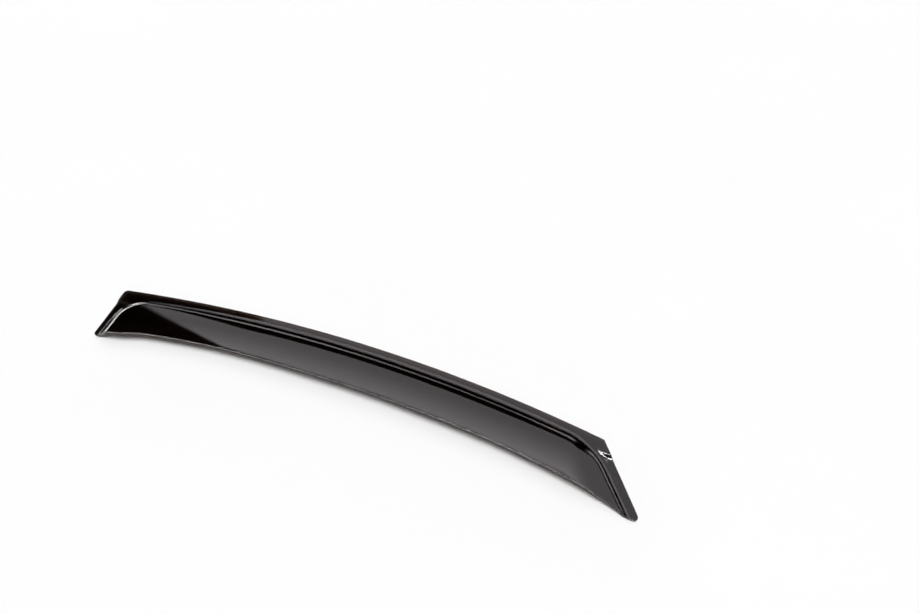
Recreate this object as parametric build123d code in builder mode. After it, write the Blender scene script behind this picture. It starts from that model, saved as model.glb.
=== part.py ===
from build123d import *
from math import asin, atan, atan2, cos, degrees, hypot, radians, sin, sqrt, tan
import os

os.makedirs("parts", exist_ok=True)

# Window rain deflector for a rear side door: one formed sheet of smoked acrylic, lying face up.
# X runs along the window, Y points to the edge that follows the window frame, Z is up from the table.

# Outline, seen from above
span = 677.0               # straight from one upper corner to the other
arch = 27.0                # rise of the upper edge over that line
steep_depth = 77.0         # from the upper corner to the tip at the steep end
steep_run = 2.0            # how far that tip stands out past its corner
raked_depth = 90.5         # the same two sizes at the raked end
raked_run = 67.5
visor_depth = 41.4         # from the line between the corners to the middle of the free edge
steep_corner = 4.0         # corner radii of the outline
raked_corner = 1.5
steep_tip = 4.0
raked_tip = 5.0

# Sheet
sheet = 3.0                # thickness
bow = 3.0                  # how far the upper edge's middle stands off the line between the corners

# Bonding flange
flange_flat = 8.3          # flat width along the upper edge
steep_flat = 9.0           # flat width at the steep end
raked_flat = 11.0          # flat width at the raked end

# Riser, which carries the visor clear of the window frame
riser_slope = 34.0         # degrees between riser and flange
riser_height = 5.2         # flange face to the sharp shoulder
riser_straight = 0.3       # what is left straight between the two bends along the upper edge
foot_bend = 15.0           # radius on the face where the riser leaves the flange
shoulder_bend = 25.0       # radius on the face where the riser turns into the visor
steep_sweep = 26.0         # plan radius of the riser's foot round the two upper corners
raked_sweep = 45.0

# Visor
visor_slope = 14.5         # degrees between visor and flange at the shoulder
visor_crown = 250.0        # radius across the visor

# End pads, where the flange steps down below the upper corners
pad_step = 13.0            # from the line between the corners to the top of the step
pad_ramp = 30.0            # degrees, slope of the step
pad_drop = 2.5             # how far the pad's outer edge lies below the flange
pad_border = 0.8           # flange left level between the pad and the bend

# Angles in radians
slope = radians(riser_slope)
tilt = radians(visor_slope)
ramp = radians(pad_ramp)

# Bends, the shoulder's limited by the riser it has to fit on
foot_set = foot_bend * tan(slope / 2)
shoulder_room = riser_height / sin(slope) - foot_set - riser_straight
shoulder_radius = min(shoulder_bend, shoulder_room / tan((slope - tilt) / 2))

# Corners and tips of the outline
half_span = span / 2
steep_low = Vector(-half_span - steep_run, -steep_depth)
raked_low = Vector(half_span + raked_run, -raked_depth)
steep_lean = steep_run / steep_depth
raked_lean = raked_run / raked_depth

# The flange is bowed along its length, and leans a little so that the pads at both ends lie on the table
bow_radius = (half_span**2 + bow**2) / (2 * bow)
raked_fall = bow_radius - bow - sqrt(bow_radius**2 - raked_low.X**2)
lean = asin(raked_fall / (steep_depth + raked_depth))
level = sheet + pad_drop

# Arch that the visor's section follows
rise = hypot(arch, bow)
arch_radius = (half_span**2 + rise**2) / (2 * rise)
crest = Vector(0, arch, level + bow)
arch_axis = Axis(crest - Vector(0, arch, bow) * (arch_radius / rise), (0, -bow, arch))

# Blocks reach past the outline, which trims them
spare = max(steep_depth, raked_depth) / 4
far = max(steep_depth, raked_depth) + spare
reach = far + arch + spare
half_width = half_span + raked_lean * far + 2 * spare
half_turn = degrees(atan2(half_width, arch_radius - reach))

# Planes: across the sheet at mid-length, along the flange, and the far side of the blocks, looking back up
section = Plane(crest, x_dir=(0, -cos(lean), sin(lean)), z_dir=(-1, 0, 0))
flange_plane = Plane((0, 0, level), x_dir=(1, 0, 0), z_dir=(0, sin(lean), cos(lean)))
far_plane = Plane((0, 0, level), x_dir=(-1, 0, 0), z_dir=(0, cos(lean), -sin(lean))).offset(-far)


def raised_block(depth):
    """Solid below the visor, with its face and the riser's moved in by depth."""
    shoulder = Vector(flange_flat + foot_set + riser_height / tan(slope), riser_height)
    crown_centre = shoulder + Vector(sin(tilt), -cos(tilt)) * visor_crown
    root = level + depth
    visor_rise = riser_height + visor_crown * (1 - cos(tilt))
    with BuildPart() as raised:
        with BuildSketch(section) as visor_section:
            with Locations((crown_centre.X, crown_centre.Y)):
                Circle(visor_crown - depth)
            with Locations((-spare, -2 * spare)):
                Rectangle(reach + spare, 4 * spare, align=Align.MIN, mode=Mode.INTERSECT)
        start = visor_section.sketch.rotate(arch_axis, -half_turn)
        revolve(start, axis=arch_axis, revolution_arc=2 * half_turn)
        # Riser's foot all round, below the flange, and the riser leaning in from it
        with BuildSketch(flange_plane.offset(-root)) as foot:
            foot_end = -(flange_flat + foot_set)
            foot_rise = arch + bow / tan(slope)
            foot_radius = (half_span**2 + foot_rise**2) / (2 * foot_rise)
            with Locations((0, foot_end + foot_rise - foot_radius)):
                Circle(foot_radius)
            with BuildLine():
                steep_side = -half_span + steep_flat + foot_set
                raked_side = half_span - (raked_flat + foot_set) * hypot(1, raked_lean)
                high = arch + spare
                low = 2 * far
                Polyline(
                    (steep_side + high * steep_lean, high),
                    (raked_side - high * raked_lean, high),
                    (raked_side + low * raked_lean, -low),
                    (steep_side - low * steep_lean, -low),
                    close=True,
                )
            make_face(mode=Mode.INTERSECT)
            fillet(foot.vertices().sort_by_distance((-half_span, 0))[0], steep_sweep)
            fillet(foot.vertices().sort_by_distance((half_span, 0))[0], raked_sweep)
            offset(amount=root / tan(slope) - depth / sin(slope), mode=Mode.REPLACE)
        height = root + bow + visor_rise + sheet
        extrude(foot.sketch, amount=height, taper=90 - riser_slope, mode=Mode.INTERSECT)
    return raised.part


def pad_cut(side, low, flat, fall, depth):
    """What the step takes off the flange at one end, with its faces moved in by depth."""
    corner = Vector(side * half_span, 0, level)
    along = Vector(low.X - corner.X, low.Y, -low.Y * tan(lean) - fall).normalized()
    out = Vector(-side * along.Y, side * along.X, 0).normalized()
    up = along.cross(out) * side
    width = flat - pad_border
    pad_tilt = atan(pad_drop / width)
    pad_up = up * cos(pad_tilt) + out * sin(pad_tilt)
    ramp_up = Vector(0, -sin(ramp), cos(ramp))
    ramp_top = Vector(0, -pad_step, level + pad_step * tan(lean))
    with BuildPart() as cut:
        with BuildSketch(Plane(corner - out * width - pad_up * depth, x_dir=along, z_dir=pad_up)):
            with Locations((0, side * (spare - foot_set / 2))):
                Rectangle(4 * far, 2 * spare)
        extrude(amount=spare)
        split(bisect_by=Plane(ramp_top - ramp_up * depth, x_dir=(1, 0, 0), z_dir=ramp_up))
    return cut.part


def formed_block(depth):
    """Solid below the whole sheet, with its face moved in by depth."""
    with BuildPart() as block:
        with BuildSketch(far_plane) as flange_section:
            with Locations((0, bow - bow_radius)):
                Circle(bow_radius - depth)
            Rectangle(2 * half_width, 4 * spare, mode=Mode.INTERSECT)
        extrude(amount=reach)
        add(raised_block(depth))
        split(bisect_by=far_plane)
        # Both bends, each without the edges on the far side
        visor_face = block.faces().filter_by(GeomType.TORUS)[0]
        fillet(visor_face.edges().sort_by(Axis.Y)[1:], shoulder_radius - depth)
        flange_face = block.faces().sort_by_distance((-half_span, 0, level - depth))[0]
        bends = flange_face.edges().filter_by(lambda e: e.geom_type not in (GeomType.CIRCLE, GeomType.LINE))
        fillet(bends, foot_bend + depth)
        add(pad_cut(-1, steep_low, steep_flat, 0, depth), mode=Mode.SUBTRACT)
        add(pad_cut(1, raked_low, raked_flat, raked_fall, depth), mode=Mode.SUBTRACT)
    return block.part


# Block over the outline, which trims the sheet
with BuildPart() as trim:
    with BuildSketch():
        with BuildLine():
            ThreePointArc((-half_span, 0), (0, arch), (half_span, 0))
            Line((half_span, 0), raked_low)
            free_middle = ((steep_low.X + raked_low.X) / 2, -visor_depth)
            free_arc = ThreePointArc(raked_low, free_middle, steep_low, mode=Mode.PRIVATE)
            Spline([free_arc @ (step / 8) for step in range(9)], tangents=[free_arc % 0, free_arc % 1])
            Line(steep_low, (-half_span, 0))
        make_face()
    extrude(amount=2 * far, both=True)
    corners = [
        ((-half_span, 0), steep_corner),
        ((half_span, 0), raked_corner),
        (steep_low, steep_tip),
        (raked_low, raked_tip),
    ]
    for place, radius in corners:
        fillet(trim.edges().filter_by(Axis.Z).sort_by_distance(place)[0], radius)

# Sheet: the space between the face and the back
with BuildPart() as formed:
    add(formed_block(0))
    add(formed_block(sheet), mode=Mode.SUBTRACT)
    add(trim.part, mode=Mode.INTERSECT)

# Origin on the table, under the middle of the sheet
box = formed.part.bounding_box()
with BuildPart() as deflector:
    with Locations((-box.center().X, -box.center().Y, -box.min.Z)):
        add(formed.part)

deflector.part.label = "deflector"
export_step(deflector.part, "parts/deflector.step")
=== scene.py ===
import logging
import math
from dataclasses import dataclass, fields
from enum import Enum
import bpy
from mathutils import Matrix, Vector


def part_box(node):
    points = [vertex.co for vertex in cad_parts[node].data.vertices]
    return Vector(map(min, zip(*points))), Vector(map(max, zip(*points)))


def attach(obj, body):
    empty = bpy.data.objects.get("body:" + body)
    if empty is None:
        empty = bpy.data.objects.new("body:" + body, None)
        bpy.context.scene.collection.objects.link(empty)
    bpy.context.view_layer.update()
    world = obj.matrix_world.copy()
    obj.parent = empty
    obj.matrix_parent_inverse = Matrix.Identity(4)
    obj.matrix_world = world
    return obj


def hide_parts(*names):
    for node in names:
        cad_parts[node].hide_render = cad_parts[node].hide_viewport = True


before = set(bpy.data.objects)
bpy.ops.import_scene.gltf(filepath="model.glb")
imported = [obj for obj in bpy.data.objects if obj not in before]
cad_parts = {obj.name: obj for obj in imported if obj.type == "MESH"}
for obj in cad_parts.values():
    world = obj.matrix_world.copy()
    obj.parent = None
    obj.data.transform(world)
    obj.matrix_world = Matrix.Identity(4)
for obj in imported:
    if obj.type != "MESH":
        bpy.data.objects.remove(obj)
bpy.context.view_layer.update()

from types import SimpleNamespace
from typing import Union

import bpy
from mathutils import Vector

LOG = logging.getLogger("rain_deflector")
MM = 0.001
DEGREE = math.pi / 180.0
QUARTER_TURN = math.pi / 2.0
WHITE = (1.0, 1.0, 1.0, 1.0)

# How closely the grid's lines crowd towards both ends, and how evenly they are spread down to the free edge
END_CROWDING = 0.75
EVEN_SHARE = 0.45
# How far past a corner its rounding still acts, because the edge's own crown stands out past the outline
PAST_CORNER = 1.05
# Points of the two faces that lie this close are one, in millimetres
SEAM = 0.002


class Face(Enum):
    """The two faces of the sheet: the one that is seen, and the one towards the window."""

    SHOWN = "shown"
    BACK = "back"


class End(Enum):
    """The two ends of the deflector, named for how the outline runs there."""

    STEEP = "steep"
    RAKED = "raked"


class Edge(Enum):
    """The two long edges of the outline."""

    UPPER = "upper"
    FREE = "free"


class Field:
    """A number worked out by a node tree, so that a rule can be written as a formula."""

    def __init__(self, tree: bpy.types.NodeTree, socket: bpy.types.NodeSocket) -> None:
        """Wraps one output socket of a tree."""
        self.tree = tree
        self.socket = socket

    def work(self, operation: str, *terms: "Term") -> "Field":
        """Adds a Math node to the tree.

        Args:
            operation: The node's operation.
            terms: Its operands, as fields or plain numbers.

        Returns:
            The node's result.
        """
        node = self.tree.nodes.new("ShaderNodeMath")
        node.operation = operation
        for socket, term in zip(node.inputs, terms):
            if isinstance(term, Field):
                self.tree.links.new(term.socket, socket)
            else:
                socket.default_value = term
        return Field(self.tree, node.outputs[0])

    def __add__(self, other: "Term") -> "Field":
        """Sum."""
        return self.work("ADD", self, other)

    def __radd__(self, other: "Term") -> "Field":
        """Sum, with the plain number first."""
        return self.work("ADD", other, self)

    def __sub__(self, other: "Term") -> "Field":
        """Difference."""
        return self.work("SUBTRACT", self, other)

    def __rsub__(self, other: "Term") -> "Field":
        """Difference, with the plain number first."""
        return self.work("SUBTRACT", other, self)

    def __mul__(self, other: "Term") -> "Field":
        """Product."""
        return self.work("MULTIPLY", self, other)

    def __rmul__(self, other: "Term") -> "Field":
        """Product, with the plain number first."""
        return self.work("MULTIPLY", other, self)

    def __truediv__(self, other: "Term") -> "Field":
        """Quotient."""
        return self.work("DIVIDE", self, other)

    def __rtruediv__(self, other: "Term") -> "Field":
        """Quotient, with the plain number first."""
        return self.work("DIVIDE", other, self)

    def __neg__(self) -> "Field":
        """The same number with the other sign."""
        return self.work("MULTIPLY", self, -1.0)

    def square(self) -> "Field":
        """Second power."""
        return self.work("MULTIPLY", self, self)

    def root(self) -> "Field":
        """Square root, and zero below zero."""
        return self.work("SQRT", self)

    def rounded(self) -> "Field":
        """The nearest whole number."""
        return self.work("ROUND", self)

    def sign(self) -> "Field":
        """One above zero, minus one below it."""
        return self.work("SIGN", self)

    def sin(self) -> "Field":
        """Sine."""
        return self.work("SINE", self)

    def cos(self) -> "Field":
        """Cosine."""
        return self.work("COSINE", self)

    def tan(self) -> "Field":
        """Tangent."""
        return self.work("TANGENT", self)

    def atan(self) -> "Field":
        """Arctangent."""
        return self.work("ARCTANGENT", self)

    def asin(self) -> "Field":
        """Arcsine."""
        return self.work("ARCSINE", self)

    def least(self, other: "Term") -> "Field":
        """The smaller of two."""
        return self.work("MINIMUM", self, other)

    def most(self, other: "Term") -> "Field":
        """The larger of two."""
        return self.work("MAXIMUM", self, other)

    def soft_least(self, other: "Term", reach: "Term") -> "Field":
        """The smaller of two, rounded over where they meet."""
        return self.work("SMOOTH_MIN", self, other, reach)

    def soft_most(self, other: "Term", reach: "Term") -> "Field":
        """The larger of two, rounded over where they meet."""
        return self.work("SMOOTH_MAX", self, other, reach)

    def below(self, other: "Term") -> "Field":
        """One where this is smaller, zero elsewhere."""
        return self.work("LESS_THAN", self, other)

    def within(self, low: "Term", high: "Term") -> "Field":
        """This number, held between two others."""
        return self.most(low).least(high)

    def hypot(self, other: "Term") -> "Field":
        """Length of the diagonal over two sides."""
        return (self.square() + other * other).root()

    def step(self, start: "Term", end: "Term") -> "Field":
        """Zero before start, one after end, and a smooth rise between them."""
        part = ((self - start) / (end - start)).within(0.0, 1.0)
        return part * part * (3.0 - 2.0 * part)

    def pick(self, yes: "Term", no: "Term") -> "Field":
        """Chooses by this field, which is one or zero."""
        return no + (yes - no) * self


Term = Union[Field, float]


@dataclass(frozen=True)
class SmokedAcrylic:
    """Finish of the sheet: glossy clear acrylic, dyed dark through its thickness."""

    refraction: float = 1.49
    coat: float = 1.0
    gloss: tuple[float, float] = (0.015, 0.04)
    tint: tuple[float, float, float] = (0.24, 0.13, 0.07)
    sheen: tuple[float, float, float] = (1.0, 0.86, 0.98)
    depth: float = 1250.0
    wear_scale: float = 35.0
    wear_detail: float = 4.0
    wear_range: tuple[float, float] = (0.35, 0.65)

    def material(self) -> bpy.types.Material:
        """Makes the material.

        Returns:
            Material with a clear glossy surface and an absorbing inside.
        """
        made = bpy.data.materials.new("smoked_acrylic")
        made.use_nodes = True
        nodes, links = made.node_tree.nodes, made.node_tree.links
        shader = nodes["Principled BSDF"]
        shader.inputs["Base Color"].default_value = WHITE
        shader.inputs["IOR"].default_value = self.refraction
        shader.inputs["Transmission Weight"].default_value = 1.0
        shader.inputs["Specular Tint"].default_value = (*self.sheen, 1.0)
        shader.inputs["Coat Weight"].default_value = self.coat
        shader.inputs["Coat Roughness"].default_value = self.gloss[0]
        shader.inputs["Coat IOR"].default_value = self.refraction
        place = nodes.new("ShaderNodeTexCoord")
        wear = nodes.new("ShaderNodeTexNoise")
        wear.inputs["Scale"].default_value = self.wear_scale
        wear.inputs["Detail"].default_value = self.wear_detail
        polish = nodes.new("ShaderNodeMapRange")
        polish.inputs["From Min"].default_value = self.wear_range[0]
        polish.inputs["From Max"].default_value = self.wear_range[1]
        polish.inputs["To Min"].default_value = self.gloss[0]
        polish.inputs["To Max"].default_value = self.gloss[1]
        links.new(place.outputs["Object"], wear.inputs["Vector"])
        links.new(wear.outputs["Fac"], polish.inputs["Value"])
        links.new(polish.outputs["Result"], shader.inputs["Roughness"])
        dye = nodes.new("ShaderNodeVolumeAbsorption")
        dye.inputs["Color"].default_value = (*self.tint, 1.0)
        dye.inputs["Density"].default_value = self.depth
        links.new(dye.outputs["Volume"], nodes["Material Output"].inputs["Volume"])
        return made


@dataclass(frozen=True)
class PaleFloor:
    """Finish of the floor: matt white, with a hardly visible grain."""

    dark: float = 0.93
    light: float = 0.95
    grain_scale: float = 3.0

    def material(self) -> bpy.types.Material:
        """Makes the material.

        Returns:
            Matt material whose colour varies a little.
        """
        made = bpy.data.materials.new("pale_floor")
        made.use_nodes = True
        nodes, links = made.node_tree.nodes, made.node_tree.links
        shader = nodes["Principled BSDF"]
        shader.inputs["Roughness"].default_value = 1.0
        shader.inputs["Specular IOR Level"].default_value = 0.0
        place = nodes.new("ShaderNodeTexCoord")
        grain = nodes.new("ShaderNodeTexNoise")
        grain.inputs["Scale"].default_value = self.grain_scale
        tone = nodes.new("ShaderNodeValToRGB")
        tone.color_ramp.elements[0].color = (self.dark, self.dark, self.dark, 1.0)
        tone.color_ramp.elements[1].color = (self.light, self.light, self.light, 1.0)
        links.new(place.outputs["Object"], grain.inputs["Vector"])
        links.new(grain.outputs["Fac"], tone.inputs["Fac"])
        links.new(tone.outputs["Color"], shader.inputs["Base Color"])
        return made


@dataclass
class Deflector:
    """The deflector, one formed sheet. Sizes are in millimetres and degrees, as on the drawing."""

    # Outline, seen from above
    span: float = 677.0             # straight from one upper corner to the other
    arch: float = 27.0              # rise of the upper edge over that line
    steep_depth: float = 77.0       # from the upper corner to the tip at the steep end
    steep_run: float = 2.0          # how far that tip stands out past its corner
    raked_depth: float = 90.5       # the same two sizes at the raked end
    raked_run: float = 67.5
    visor_depth: float = 41.9       # from the line between the corners to the middle of the free edge
    steep_corner: float = 7.0       # radii of the upper corners
    raked_corner: float = 1.5
    steep_tip: float = 4.0          # radii of the tips
    raked_tip: float = 5.0

    # Free edge beside the two tips
    steep_lift: float = 4.6         # how far it is drawn in beside the steep tip
    steep_lift_start: float = 30.0  # where that starts, is full, fades and ends, along the edge from the tip
    steep_lift_full: float = 74.0
    steep_lift_fade: float = 130.0
    steep_lift_end: float = 340.0
    raked_lift: float = 1.8         # the same beside the raked tip
    raked_lift_start: float = 20.0
    raked_lift_full: float = 50.0
    raked_lift_fade: float = 170.0
    raked_lift_end: float = 300.0

    # Sheet
    sheet: float = 3.0              # thickness
    bow: float = 3.0                # how far the upper edge's middle stands off the line between the corners
    rim: float = 0.45               # radius of the rounded rim
    rim_crown: float = 0.05         # how far the middle of the edge stands out past it

    # Bonding flange
    flange_flat: float = 7.9        # flat width along the upper edge
    steep_flat: float = 10.2        # flat width at the steep end, halfway down it
    raked_flat: float = 13.6        # the same at the raked end
    steep_toe: float = 0.03         # how much the width at each end changes, for each millimetre along it
    raked_toe: float = 0.025
    raked_stretch: float = 1.25     # length along the raked end, for each millimetre down it

    # Riser, which carries the visor clear of the window frame
    upper_slope: float = 28.5       # degrees between riser and flange, along the upper edge
    steep_slope: float = 42.0       # the same at the two ends
    raked_slope: float = 35.0
    raked_ease: float = 5.0         # how many degrees shallower it is halfway round the raked corner
    riser_height: float = 4.7       # flange face to the sharp shoulder
    upper_foot: float = 22.0        # radii where the riser leaves the flange
    steep_foot: float = 2.0
    raked_foot: float = 12.5
    upper_shoulder: float = 37.0    # radii where the riser turns into the visor
    steep_shoulder: float = 16.0
    raked_shoulder: float = 8.0
    steep_sweep: float = 38.0       # plan radii of the riser's foot round the two upper corners
    raked_sweep: float = 82.0
    corner_blend: float = 24.0      # width over which one side's sizes change into the next side's

    # Visor
    visor_slope: float = 14.2       # degrees between visor and flange at the shoulder
    visor_crown: float = 250.0      # radius across the visor
    steep_visor: float = 3.0        # degrees that it climbs inwards from the riser at the two ends
    raked_visor: float = 18.0

    # Change along the upper edge towards the steep end
    steep_part: float = 0.3         # share of the shoulder's radius that is left at that end
    steep_extra: float = 5.0        # how many degrees the riser would gain if none were left
    steep_dip: float = 1.3          # how far the visor would sink if none were left
    steep_start: float = 20.0       # distances from the end where the change is full, and where it is gone
    steep_reach: float = 260.0

    # Change towards the raked end, where the visor turns down to a tilted plane
    raked_part: float = 0.35        # share of the shoulder's radius that is left at that end
    raked_start: float = 15.0       # distances from the end where that change is full, and where it is gone
    raked_reach: float = 110.0
    raked_height: float = -0.5      # height of the plane over the flange's inner border
    raked_rise: float = 0.31        # slope of the plane
    raked_blend: float = 5.0        # reach of the rounding between plane and visor

    # End pads, where the flange steps down below the upper corners
    pad_step: float = 17.2          # from the line between the corners to the top of the step
    pad_ramp: float = 33.0          # degrees, slope of the step
    pad_drop: float = 2.5           # how far the pad lies below the flange
    step_crest: float = 0.4         # reach of the rounding at the top and at the bottom of the step
    step_toe: float = 2.2
    step_side: float = 5.0          # where the step goes over into a long fall, in from the raked end
    step_end: float = 14.0
    late_start: float = -2.5        # where the long fall starts and ends, below the line between the corners
    late_end: float = 42.0

    # Grid that the sheet is made from
    columns: float = 430.0          # steps from end to end
    rows: float = 112.0             # steps from the upper edge to the free edge
    rim_rows: float = 4.0           # steps round the rim

    def build(self, finish: SmokedAcrylic) -> bpy.types.Object:
        """Makes the sheet and turns it into a plain mesh that stands where the solid does.

        Args:
            finish: Finish of the sheet.

        Returns:
            The finished piece.
        """
        tree, sockets = self.tree(finish.material())
        piece = bpy.data.objects.new("deflector_sheet", bpy.data.meshes.new("deflector_sheet"))
        bpy.context.scene.collection.objects.link(piece)
        nodes = piece.modifiers.new("formed_sheet", "NODES")
        nodes.node_group = tree
        for name, socket in sockets.items():
            nodes[socket] = float(getattr(self, name))
        graph = bpy.context.evaluated_depsgraph_get()
        formed = bpy.data.meshes.new_from_object(piece.evaluated_get(graph), depsgraph=graph)
        piece.modifiers.remove(nodes)
        piece.data = formed
        self.seat(formed)
        return piece

    def seat(self, formed: bpy.types.Mesh) -> None:
        """Moves the mesh so that it rests on the table, at the middle of the solid's box.

        Args:
            formed: Mesh of the sheet, in the drawing's own frame.
        """
        low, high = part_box("deflector")
        points = [vertex.co for vertex in formed.vertices]
        near = [min(point[axis] for point in points) for axis in range(3)]
        far = [max(point[axis] for point in points) for axis in range(3)]
        move = [(low[axis] + high[axis] - near[axis] - far[axis]) / 2 for axis in range(2)]
        shift = Vector((move[0], move[1], low[2] - near[2]))
        for vertex in formed.vertices:
            vertex.co += shift
        formed.update()

    def dress(self, piece: bpy.types.Object) -> None:
        """Ties the piece to the solid that it stands for.

        Args:
            piece: The finished piece.
        """
        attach(piece, "root")
        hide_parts("deflector")

    def tree(self, finish: bpy.types.Material) -> tuple[bpy.types.GeometryNodeTree, dict[str, str]]:
        """Makes the node tree: a grid laid over the outline, raised by the rule and closed all round.

        Args:
            finish: Material of the sheet.

        Returns:
            The tree, and the identifier of the input socket of each size.
        """
        tree = bpy.data.node_groups.new("formed_sheet", "GeometryNodeTree")
        tree.interface.new_socket("Geometry", in_out="OUTPUT", socket_type="NodeSocketGeometry")
        sockets = {}
        for size in fields(self):
            title = size.name.replace("_", " ")
            made = tree.interface.new_socket(title, in_out="INPUT", socket_type="NodeSocketFloat")
            sockets[size.name] = made.identifier
        given = tree.nodes.new("NodeGroupInput")
        sizes = SimpleNamespace()
        for size, socket in zip(fields(self), given.outputs):
            setattr(sizes, size.name, Field(tree, socket))
        self.derive(sizes)

        grid = tree.nodes.new("GeometryNodeMeshGrid")
        tree.links.new(sizes.columns.socket, grid.inputs["Size X"])
        tree.links.new(sizes.rows.socket, grid.inputs["Size Y"])
        tree.links.new((sizes.columns + 1.0).socket, grid.inputs["Vertices X"])
        tree.links.new((sizes.rows + 1.0).socket, grid.inputs["Vertices Y"])
        place = tree.nodes.new("GeometryNodeInputPosition")
        parts = tree.nodes.new("ShaderNodeSeparateXYZ")
        tree.links.new(place.outputs["Position"], parts.inputs["Vector"])
        column = (Field(tree, parts.outputs["X"]) + sizes.columns / 2.0).rounded()
        row = (sizes.rows / 2.0 - Field(tree, parts.outputs["Y"])).rounded()

        along, column_steps = self.spread(sizes, column, sizes.columns, sizes.span, Edge.UPPER)
        down, row_steps = self.spread(sizes, row, sizes.rows, sizes.steep_depth, Edge.FREE)
        x, y = self.plan(sizes, along, down)
        z = self.height(sizes, x, y)
        point = tree.nodes.new("ShaderNodeCombineXYZ")
        for axis, value in zip("XYZ", (x, y, z)):
            tree.links.new((value * MM).socket, point.inputs[axis])
        # The depth at the rim is taken before the grid is laid, while its points still tell their line
        ringed = tree.nodes.new("GeometryNodeCaptureAttribute")
        ringed.capture_items.new("FLOAT", "depth")
        tree.links.new(grid.outputs["Mesh"], ringed.inputs["Geometry"])
        rim_depth = self.rim_depth(sizes, column_steps.least(row_steps))
        tree.links.new(rim_depth.socket, ringed.inputs["depth"])
        depth = Field(tree, ringed.outputs["depth"])
        laid = tree.nodes.new("GeometryNodeSetPosition")
        tree.links.new(ringed.outputs["Geometry"], laid.inputs["Geometry"])
        tree.links.new(point.outputs["Vector"], laid.inputs["Position"])

        kept = tree.nodes.new("GeometryNodeCaptureAttribute")
        kept.capture_items.new("VECTOR", "facing")
        tree.links.new(laid.outputs["Geometry"], kept.inputs["Geometry"])
        normal = tree.nodes.new("GeometryNodeInputNormal")
        tree.links.new(normal.outputs["Normal"], kept.inputs["facing"])

        joined = tree.nodes.new("GeometryNodeJoinGeometry")
        for face in Face:
            moved = self.face(tree, kept, depth, sizes, face)
            tree.links.new(moved, joined.inputs["Geometry"])
        closed = tree.nodes.new("GeometryNodeMergeByDistance")
        closed.inputs["Distance"].default_value = SEAM * MM
        smooth = tree.nodes.new("GeometryNodeSetShadeSmooth")
        real = tree.nodes.new("GeometryNodeRealizeInstances")
        coat = tree.nodes.new("GeometryNodeSetMaterial")
        coat.inputs["Material"].default_value = finish
        end = tree.nodes.new("NodeGroupOutput")
        chain = [joined, closed, smooth, real, coat, end]
        for first, second in zip(chain, chain[1:]):
            tree.links.new(first.outputs["Geometry"], second.inputs["Geometry"])
        return tree, sockets

    def derive(self, sizes: SimpleNamespace) -> None:
        """Works out the sizes that follow from the given ones.

        Args:
            sizes: Fields of the given sizes, to which the others are added.
        """
        sizes.half = sizes.span / 2.0
        sizes.tilt = sizes.visor_slope * DEGREE
        sizes.level = sizes.sheet + sizes.pad_drop
        sizes.arch_radius = (sizes.half.square() + sizes.arch.square()) / (2.0 * sizes.arch)
        raked_end = sizes.half + sizes.raked_run
        fall = sizes.bow * ((raked_end / sizes.half).square() - 1.0)
        sizes.lean = fall / (sizes.steep_depth + sizes.raked_depth)
        sizes.steep_length = sizes.steep_depth.hypot(sizes.steep_run)
        sizes.raked_length = sizes.raked_depth.hypot(sizes.raked_run)
        chord_run = sizes.span + sizes.steep_run + sizes.raked_run
        sizes.chord = chord_run.hypot(sizes.raked_depth - sizes.steep_depth)
        sizes.sag = (sizes.steep_depth + sizes.raked_depth) / 2.0 - sizes.visor_depth
        sizes.free_radius = (sizes.chord.square() / 4.0 + sizes.sag.square()) / (2.0 * sizes.sag)
        sizes.upper_angle = (sizes.half / sizes.arch_radius).asin()
        sizes.free_angle = (sizes.chord / 2.0 / sizes.free_radius).asin()
        sizes.chord_angle = ((sizes.raked_depth - sizes.steep_depth) / chord_run).atan()
        sizes.steep_angle = (sizes.steep_run / sizes.steep_depth).atan()
        sizes.raked_angle = (sizes.raked_run / sizes.raked_depth).atan()

    def spread(
        self, sizes: SimpleNamespace, index: Field, count: Field, length: Field, edge: Edge
    ) -> tuple[Field, Field]:
        """Turns a grid index into a share of the way across, with close lines at the rim and the bends.

        Args:
            sizes: Fields of the sizes.
            index: Index of the grid line.
            count: Number of steps between the first line and the last.
            length: Length that the rim's width is measured against.
            edge: UPPER for lines spread along the upper edge, FREE for lines spread down to the free edge.

        Returns:
            The share from 0 to 1, and the number of steps from the nearer edge.
        """
        steps = index.least(count - index)
        ring = sizes.rim_rows + 1.0
        inner = ((index - ring) / (count - 2.0 * ring)).within(0.0, 1.0)
        if edge is Edge.UPPER:
            inner = inner - END_CROWDING / math.tau * (inner * math.tau).sin()
        else:
            inner = EVEN_SHARE * inner + (1.0 - EVEN_SHARE) * inner * inner * inner
        turn = self.rim_turn(sizes, steps)
        outermost = steps.below(0.5)
        inset = sizes.rim * (1.0 - turn.cos()) - sizes.rim_crown * outermost
        side = (index - count / 2.0).sign()
        share = sizes.rim / length
        return share + (1.0 - 2.0 * share) * inner + side * (sizes.rim - inset) / length, steps

    def rim_turn(self, sizes: SimpleNamespace, steps: Field) -> Field:
        """Angle round the rim, from none at the edge to a quarter turn, for a number of grid steps."""
        return ((steps - 1.0) / sizes.rim_rows).within(0.0, 1.0) * QUARTER_TURN

    def rim_depth(self, sizes: SimpleNamespace, steps: Field) -> Field:
        """How far below the face a point near the rim lies.

        Args:
            sizes: Fields of the sizes.
            steps: Number of grid steps from the nearest edge.

        Returns:
            Depth in millimetres: half the sheet at the edge itself, then a quarter turn, then none.
        """
        turn = self.rim_turn(sizes, steps)
        outermost = steps.below(0.5)
        return outermost.pick(sizes.sheet / 2.0, sizes.rim * (1.0 - turn.sin()))

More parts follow.
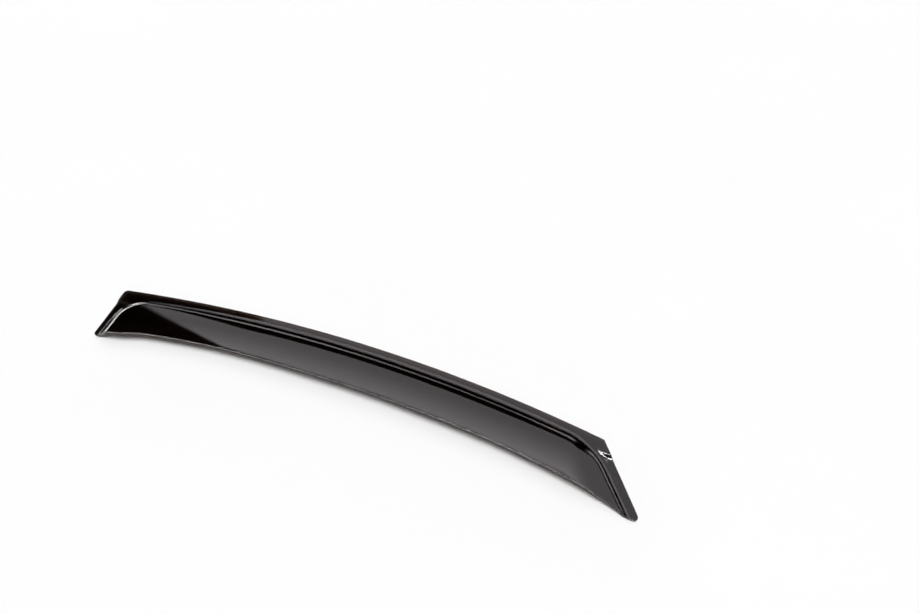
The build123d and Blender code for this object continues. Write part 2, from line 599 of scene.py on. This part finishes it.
    def face(
        self,
        tree: bpy.types.GeometryNodeTree,
        kept: bpy.types.Node,
        depth: Field,
        sizes: SimpleNamespace,
        face: Face,
    ) -> bpy.types.NodeSocket:
        """Moves a copy of the laid grid into place as one face of the sheet.

        Args:
            tree: The node tree.
            kept: Node that holds the laid grid and its facing.
            depth: How far below the shown face each point lies.
            sizes: Fields of the sizes.
            face: Which face to make.

        Returns:
            Socket of the face's geometry, looking outwards.
        """
        if face is Face.BACK:
            depth = sizes.sheet - depth
        scaled = tree.nodes.new("ShaderNodeVectorMath")
        scaled.operation = "SCALE"
        tree.links.new(kept.outputs["facing"], scaled.inputs[0])
        tree.links.new((depth * -MM).socket, scaled.inputs["Scale"])
        moved = tree.nodes.new("GeometryNodeSetPosition")
        tree.links.new(kept.outputs["Geometry"], moved.inputs["Geometry"])
        tree.links.new(scaled.outputs["Vector"], moved.inputs["Offset"])
        if face is Face.SHOWN:
            return moved.outputs["Geometry"]
        turned = tree.nodes.new("GeometryNodeFlipFaces")
        tree.links.new(moved.outputs["Geometry"], turned.inputs["Mesh"])
        return turned.outputs["Mesh"]

    def plan(self, sizes: SimpleNamespace, along: Field, down: Field) -> tuple[Field, Field]:
        """Lays the grid over the outline, seen from above.

        Args:
            sizes: Fields of the sizes.
            along: Share of the way from the steep end to the raked end.
            down: Share of the way from the upper edge to the free edge.

        Returns:
            Place of each point along X and Y.
        """
        upper_x = sizes.span * along - sizes.half
        radius = sizes.arch_radius
        upper_y = sizes.arch - upper_x.square() / (radius + (radius.square() - upper_x.square()).root())
        free_x = (sizes.span + sizes.steep_run + sizes.raked_run) * along - sizes.half - sizes.steep_run
        reach = (along - 0.5) * sizes.chord
        radius = sizes.free_radius
        hump = sizes.sag - reach.square() / (radius + (radius.square() - reach.square()).root())
        free_y = hump - sizes.steep_depth - (sizes.raked_depth - sizes.steep_depth) * along
        past_steep = along * sizes.chord
        past_raked = (1.0 - along) * sizes.chord
        steep_in = past_steep.step(sizes.steep_lift_start, sizes.steep_lift_full)
        steep_out = past_steep.step(sizes.steep_lift_fade, sizes.steep_lift_end)
        free_y = free_y + sizes.steep_lift * steep_in * (1.0 - steep_out)
        raked_in = past_raked.step(sizes.raked_lift_start, sizes.raked_lift_full)
        raked_out = past_raked.step(sizes.raked_lift_fade, sizes.raked_lift_end)
        free_y = free_y + sizes.raked_lift * raked_in * (1.0 - raked_out)
        x = upper_x + (free_x - upper_x) * down
        y = upper_y + (free_y - upper_y) * down
        for end in End:
            for edge in Edge:
                move_x, move_y = self.corner(sizes, along, down, end, edge)
                x = x + move_x
                y = y + move_y
        return x, y

    def corner(
        self, sizes: SimpleNamespace, along: Field, down: Field, end: End, edge: Edge
    ) -> tuple[Field, Field]:
        """Rounds one corner of the outline.

        Args:
            sizes: Fields of the sizes.
            along: Share of the way from the steep end to the raked end.
            down: Share of the way from the upper edge to the free edge.
            end: The end that the corner is at.
            edge: The long edge that the corner is on.

        Returns:
            How far each point moves along X and Y.
        """
        steep = end is End.STEEP
        upper = edge is Edge.UPPER
        hand = 1.0 if steep else -1.0
        if upper:
            radius = sizes.steep_corner if steep else sizes.raked_corner
            rise = sizes.upper_angle
        else:
            radius = sizes.steep_tip if steep else sizes.raked_tip
            rise = sizes.free_angle - hand * sizes.chord_angle
        lean = sizes.steep_angle if steep else sizes.raked_angle
        way = -1.0 if upper else 1.0
        first = (hand * rise.cos(), rise.sin())
        second = (hand * way * lean.sin(), way * lean.cos())
        dot = first[0] * second[0] + first[1] * second[1]
        half_angle = ((1.0 - dot) / 2.0).root().asin()
        # The corner itself moves to the middle of its arc, and the pull dies out over the reach
        reach = 1.5 * radius * (1.0 / half_angle.sin() - 1.0) / half_angle.cos()
        long_side = sizes.span if upper else sizes.chord
        short_side = sizes.steep_length if steep else sizes.raked_length
        beside = (along if steep else 1.0 - along) * long_side
        below = (down if upper else 1.0 - down) * short_side
        near = (1.0 - beside / reach).within(0.0, PAST_CORNER)
        deep = (1.0 - below / reach).within(0.0, PAST_CORNER)
        pull = reach / 3.0 * near * deep
        move_x = pull * (deep * first[0] + near * second[0])
        move_y = pull * (deep * first[1] + near * second[1])
        return move_x, move_y

    def swept(self, one: Field, other: Field, radius: Field, facing: Field) -> Field:
        """The smaller of two distances, with an arc of the given radius where they meet.

        Args:
            one: Distance in from one edge.
            other: Distance in from the other edge.
            radius: Plan radius of the sweep.
            facing: Cosine of the angle between the two edges' inward directions.

        Returns:
            Distance in from the swept line.
        """
        a = one - radius
        b = other - radius
        inside = (a - b * facing).below(0.0) * (b - a * facing).below(0.0)
        far = ((a.square() + b.square() - 2.0 * a * b * facing) / (1.0 - facing.square())).root()
        return inside.pick(radius - far, one.least(other))

    def height(self, sizes: SimpleNamespace, x: Field, y: Field) -> Field:
        """Raises the sheet: level flange, sunk end pads, riser swept round both corners, and crowned visor.

        Args:
            sizes: Fields of the sizes.
            x: Place of each point along X.
            y: Place of each point along Y.

        Returns:
            Height of the shown face.
        """
        # Distances in from the upper edge and from both ends
        radius = sizes.arch_radius
        drop = y - sizes.arch
        hub = x.hypot(drop + radius)
        upper = -(x.square() + drop.square() + 2.0 * radius * drop) / (radius + hub)
        steep = ((x + sizes.half) * sizes.steep_depth - y * sizes.steep_run) / sizes.steep_length
        raked = -((x - sizes.half) * sizes.raked_depth + y * sizes.raked_run) / sizes.raked_length

        # Flange, and how far the pads are sunk below it
        plane = sizes.level + sizes.bow * (1.0 - (x / sizes.half).square()) - sizes.lean * y
        ramp = (-y - sizes.pad_step) * ((sizes.pad_ramp * DEGREE).tan() + sizes.lean)
        sharp = ramp.soft_least(sizes.pad_drop, sizes.step_toe).soft_most(0.0, sizes.step_crest)
        late = sizes.pad_drop * (-y).step(sizes.late_start, sizes.late_end)
        inner = raked.step(sizes.step_side, sizes.step_end) * raked.below(steep)
        sunk = sharp + (late - sharp) * inner

        # Riser: its foot's line round the corners, and the sizes of its bends there
        less = (1.0 - sizes.steep_part) * (1.0 - steep.step(sizes.steep_start, sizes.steep_reach))
        upper_slope = sizes.upper_slope + sizes.steep_extra * less
        tighter = (1.0 - sizes.raked_part) * (1.0 - raked.step(sizes.raked_start, sizes.raked_reach))
        upper_shoulder = sizes.upper_shoulder * (1.0 - less - tighter)
        in_upper = upper - sizes.flange_flat - self.set_back(sizes.upper_foot, upper_slope)
        in_steep = steep - sizes.steep_flat - self.set_back(sizes.steep_foot, sizes.steep_slope)
        in_steep = in_steep - sizes.steep_toe * (y + sizes.steep_depth / 2.0)
        in_raked = raked - sizes.raked_flat - self.set_back(sizes.raked_foot, sizes.raked_slope)
        in_raked = in_raked - sizes.raked_toe * (y + sizes.raked_depth / 2.0) * sizes.raked_stretch
        steep_turn = (sizes.upper_angle - sizes.steep_angle + sizes.steep_toe).sin()
        raked_turn = (sizes.upper_angle + sizes.raked_angle + sizes.raked_toe).sin()
        inwards = self.swept(in_upper, in_steep, sizes.steep_sweep, steep_turn)
        inwards = self.swept(inwards, in_raked, sizes.raked_sweep, raked_turn)
        middle = (in_steep.least(in_raked) - in_upper) / sizes.corner_blend
        middle = (middle + 0.5).within(0.0, 1.0)
        nearer = in_steep.below(in_raked)
        slope = middle.pick(upper_slope, nearer.pick(sizes.steep_slope, sizes.raked_slope))
        # Halfway round a corner middle * (1 - middle) is a quarter, so four times the ease is full there
        slope = slope - nearer.pick(0.0, 4.0 * sizes.raked_ease) * middle * (1.0 - middle)
        end_rise = nearer.pick(sizes.steep_visor, sizes.raked_visor)
        rise = middle.pick(sizes.visor_slope, end_rise) * DEGREE
        foot_bend = middle.pick(sizes.upper_foot, nearer.pick(sizes.steep_foot, sizes.raked_foot))
        end_shoulder = nearer.pick(sizes.steep_shoulder, sizes.raked_shoulder)
        shoulder_bend = middle.pick(upper_shoulder, end_shoulder)

        foot_set = self.set_back(foot_bend, slope)
        slope = slope * DEGREE
        inwards = inwards + sunk / slope.tan()
        bend_end = foot_set * slope.cos()
        bent = inwards.within(-foot_set, bend_end)
        bend = foot_bend - (foot_bend.square() - (bent + foot_set).square()).root()
        riser = plane - sunk + bend + (inwards - bent).most(0.0) * slope.tan()

        # Visor, crowned round a line that follows the upper edge, and turned down at the raked end
        shoulder = sizes.flange_flat + self.set_back(sizes.upper_foot, sizes.upper_slope)
        shoulder = shoulder + sizes.riser_height / (sizes.upper_slope * DEGREE).tan()
        crown = sizes.visor_crown
        off_axis = upper - shoulder - crown * sizes.tilt.sin()
        arc = (crown.square() - off_axis.square()).root()
        visor = sizes.riser_height - crown * sizes.tilt.cos() + arc
        foot_x = x * radius / hub
        bowed = sizes.bow * (1.0 - (foot_x / sizes.half).square())
        visor = visor + sizes.level + bowed + sizes.lean * upper
        turned = plane + sizes.raked_height + sizes.raked_rise * (raked - sizes.raked_flat)
        visor = visor - less * sizes.steep_dip
        visor = visor.soft_least(turned, sizes.raked_blend)
        raised = self.shoulder(riser, visor, slope, rise, shoulder_bend)
        return inwards.below(bend_end).pick(riser, raised)

    def set_back(self, radius: Field, slope: Field) -> Field:
        """Distance from the start of a bend to the corner that it rounds, for a slope in degrees."""
        return radius * (slope * (DEGREE / 2.0)).tan()

    def shoulder(self, riser: Field, visor: Field, slope: Field, rise: Field, radius: Field) -> Field:
        """Rounds the edge where the riser turns into the visor.

        Args:
            riser: Height of the riser, carried on past the edge.
            visor: Height of the visor, carried on past the edge.
            slope: Angle of the riser, in radians.
            rise: Angle of the visor at the edge, in radians.
            radius: Radius of the bend.

        Returns:
            Height of the face over riser and visor.
        """
        set_back = radius * ((slope - rise) / 2.0).tan()
        past = (riser - visor) / (slope.tan() - rise.tan())
        low = -set_back * slope.cos()
        held = past.within(low, set_back * rise.cos())
        hub_out = low + radius * slope.sin()
        hub_down = set_back * slope.sin() + radius * slope.cos()
        arc = (radius.square() - (held - hub_out).square()).root() - hub_down
        before = (past - held).least(0.0) * slope.tan()
        after = (past - held).most(0.0) * rise.tan()
        return visor - past * rise.tan() + arc + before + after


@dataclass(frozen=True)
class SoftPanel:
    """Broad light behind the object, as seen from it: slopes to its borders, and its levels."""

    left: tuple[float, float] = (-0.831, -0.791)
    left_slant: float = 0.075
    right: tuple[float, float] = (0.85, 1.10)
    bottom: tuple[float, float] = (0.725, 0.755)
    bottom_slant: float = 0.9
    bottom_pivot: float = -0.65
    top: tuple[float, float] = (1.60, 1.70)
    ramp: tuple[float, float] = (0.86, 1.55)
    low_level: float = 0.72
    high_level: float = 1.75
    over_level: float = 0.68

    def level(self, across: Field, up: Field) -> Field:
        """Light that comes from a direction.

        Args:
            across: Slope of the direction to the side.
            up: Slope of the direction upwards.

        Returns:
            Strength of the light.
        """
        climb = ((up - self.ramp[0]) / (self.ramp[1] - self.ramp[0])).within(0.0, 1.0)
        face = self.low_level + (self.high_level - self.low_level) * climb
        face = face + (self.over_level - face) * up.step(*self.top)
        lifted = up - self.bottom_slant * (across - self.bottom_pivot).least(0.0)
        leftward = across + self.left_slant * up
        inside = lifted.step(*self.bottom) * leftward.step(*self.left)
        return face * inside * (1.0 - across.step(*self.right))


@dataclass(frozen=True)
class RoundLamp:
    """Round soft light: where it stands, how wide it is, and its level."""

    azimuth: float
    elevation: float
    radius: float
    edge: float
    level: float

    def shine(self, x: Field, y: Field, z: Field) -> Field:
        """Light that comes from a direction.

        Args:
            x: Direction along X.
            y: Direction along Y.
            z: Direction upwards.

        Returns:
            Strength of the light.
        """
        turn, tip = math.radians(self.azimuth), math.radians(self.elevation)
        flat = math.cos(tip)
        toward = x * (math.sin(turn) * flat) + y * (math.cos(turn) * flat) + z * math.sin(tip)
        outer = math.cos(math.radians(self.radius + self.edge))
        inner = math.cos(math.radians(self.radius - self.edge))
        return self.level * toward.step(outer, inner)


@dataclass(frozen=True)
class Studio:
    """Plain studio: pale floor, soft light round the object, and the camera."""

    panel: SoftPanel = SoftPanel()
    key: RoundLamp = RoundLamp(azimuth=180.0, elevation=87.0, radius=14.5, edge=3.0, level=12.6)
    fill: RoundLamp = RoundLamp(azimuth=180.0, elevation=20.0, radius=60.0, edge=15.0, level=0.12)
    horizon_level: float = 1.0
    horizon: tuple[float, float] = (0.10, 0.20)
    side_level: float = 5.0
    side: tuple[float, float] = (0.60, 0.80)
    side_back: tuple[float, float] = (0.05, 0.25)
    panel_front: tuple[float, float] = (0.0, 0.05)
    least_ahead: float = 0.02
    floor_half: float = 4.0
    target: tuple[float, float, float] = (0.0760, 0.1610, 0.0006)
    azimuth: float = 19.43
    elevation: float = 55.5
    distance: float = 1.096
    lens: float = 31.304
    sensor: float = 36.0

    def floor(self, finish: PaleFloor) -> bpy.types.Object:
        """Makes the floor.

        Args:
            finish: Finish of the floor.

        Returns:
            The floor.
        """
        reach = self.floor_half
        corners = [(-reach, -reach, 0.0), (reach, -reach, 0.0), (reach, reach, 0.0), (-reach, reach, 0.0)]
        sheet = bpy.data.meshes.new("floor")
        sheet.from_pydata(corners, [], [(0, 1, 2, 3)])
        sheet.materials.append(finish.material())
        made = bpy.data.objects.new("floor", sheet)
        bpy.context.scene.collection.objects.link(made)
        return made

    def light(self) -> bpy.types.World:
        """Makes the light, which comes from all round the object.

        Returns:
            The world, plain white where the camera looks at it or through the sheet.
        """
        world = bpy.data.worlds.new("studio_light")
        world.use_nodes = True
        bpy.context.scene.world = world
        tree = world.node_tree
        nodes, links = tree.nodes, tree.links
        nodes.clear()
        place = nodes.new("ShaderNodeTexCoord")
        parts = nodes.new("ShaderNodeSeparateXYZ")
        links.new(place.outputs["Generated"], parts.inputs["Vector"])
        x, y, z = (Field(tree, parts.outputs[axis]) for axis in "XYZ")
        ahead = y.most(self.least_ahead)
        soft = self.panel.level(x / ahead, z / ahead) * y.step(*self.panel_front)
        side = self.side_level * (-x).step(*self.side) * y.step(*self.side_back)
        horizon = self.horizon_level * (1.0 - z.step(*self.horizon)) * (1.0 + side)
        total = soft + horizon + self.key.shine(x, y, z) + self.fill.shine(x, y, z)
        glow = nodes.new("ShaderNodeBackground")
        glow.inputs["Color"].default_value = WHITE
        links.new(total.socket, glow.inputs["Strength"])
        white = nodes.new("ShaderNodeBackground")
        white.inputs["Color"].default_value = WHITE
        path = nodes.new("ShaderNodeLightPath")
        straight = Field(tree, path.outputs["Is Camera Ray"])
        seen = straight.most(Field(tree, path.outputs["Is Transmission Ray"]))
        mixed = nodes.new("ShaderNodeMixShader")
        links.new(seen.socket, mixed.inputs["Fac"])
        links.new(glow.outputs["Background"], mixed.inputs[1])
        links.new(white.outputs["Background"], mixed.inputs[2])
        output = nodes.new("ShaderNodeOutputWorld")
        links.new(mixed.outputs["Shader"], output.inputs["Surface"])
        return world

    def camera(self) -> bpy.types.Object:
        """Makes the camera.

        Returns:
            The camera, set as the scene's own.
        """
        lens = bpy.data.cameras.new("camera")
        lens.lens = self.lens
        lens.sensor_width = self.sensor
        turn, tip = math.radians(self.azimuth), math.radians(self.elevation)
        back = Vector((math.sin(turn) * math.cos(tip), -math.cos(turn) * math.cos(tip), math.sin(tip)))
        made = bpy.data.objects.new("camera", lens)
        made.location = Vector(self.target) + back * self.distance
        made.rotation_mode = "QUATERNION"
        made.rotation_quaternion = (-back).to_track_quat("-Z", "Y")
        bpy.context.scene.collection.objects.link(made)
        bpy.context.scene.camera = made
        return made


def main() -> None:
    """Builds the deflector and the studio, and reports each piece."""
    logging.basicConfig(level=logging.INFO, format="%(message)s")
    bpy.context.scene.view_settings.view_transform = "Standard"
    deflector = Deflector()
    sheet = deflector.build(SmokedAcrylic())
    deflector.dress(sheet)
    LOG.info("%s: %d vertices, %d faces", sheet.name, len(sheet.data.vertices), len(sheet.data.polygons))
    studio = Studio()
    LOG.info("%s: stage", studio.floor(PaleFloor()).name)
    LOG.info("%s: world", studio.light().name)
    LOG.info("%s: %.3f mm lens", studio.camera().name, studio.lens)


if __name__ == "__main__":
    main()
